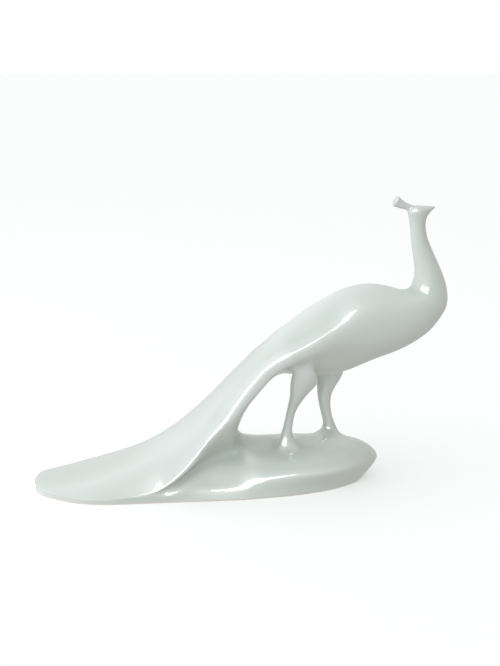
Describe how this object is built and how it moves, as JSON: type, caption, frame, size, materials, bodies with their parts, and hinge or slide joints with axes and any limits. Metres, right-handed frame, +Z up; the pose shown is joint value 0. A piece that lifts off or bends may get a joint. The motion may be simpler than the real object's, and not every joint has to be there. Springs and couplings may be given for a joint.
{
  "type": "peacock figurine",
  "caption": "Glazed porcelain peacock figurine in one piece, standing on a low rounded mound, its long closed train sweeping down to the ground behind it.",
  "frame": {"origin": "middle of the figurine's box, on the surface that it stands on", "axes": "+X from the tail to the beak, +Y to the bird's left, away from the side that is seen most, +Z up"},
  "size_m": [0.2754, 0.0772, 0.19],
  "materials": {
    "glazed_porcelain": "high-gloss pale celadon-white glaze on porcelain, bare bisque on the foot ring"
  },
  "bodies": {
    "root": {"peacock_figurine": "glazed_porcelain"}
  },
  "joints": []
}
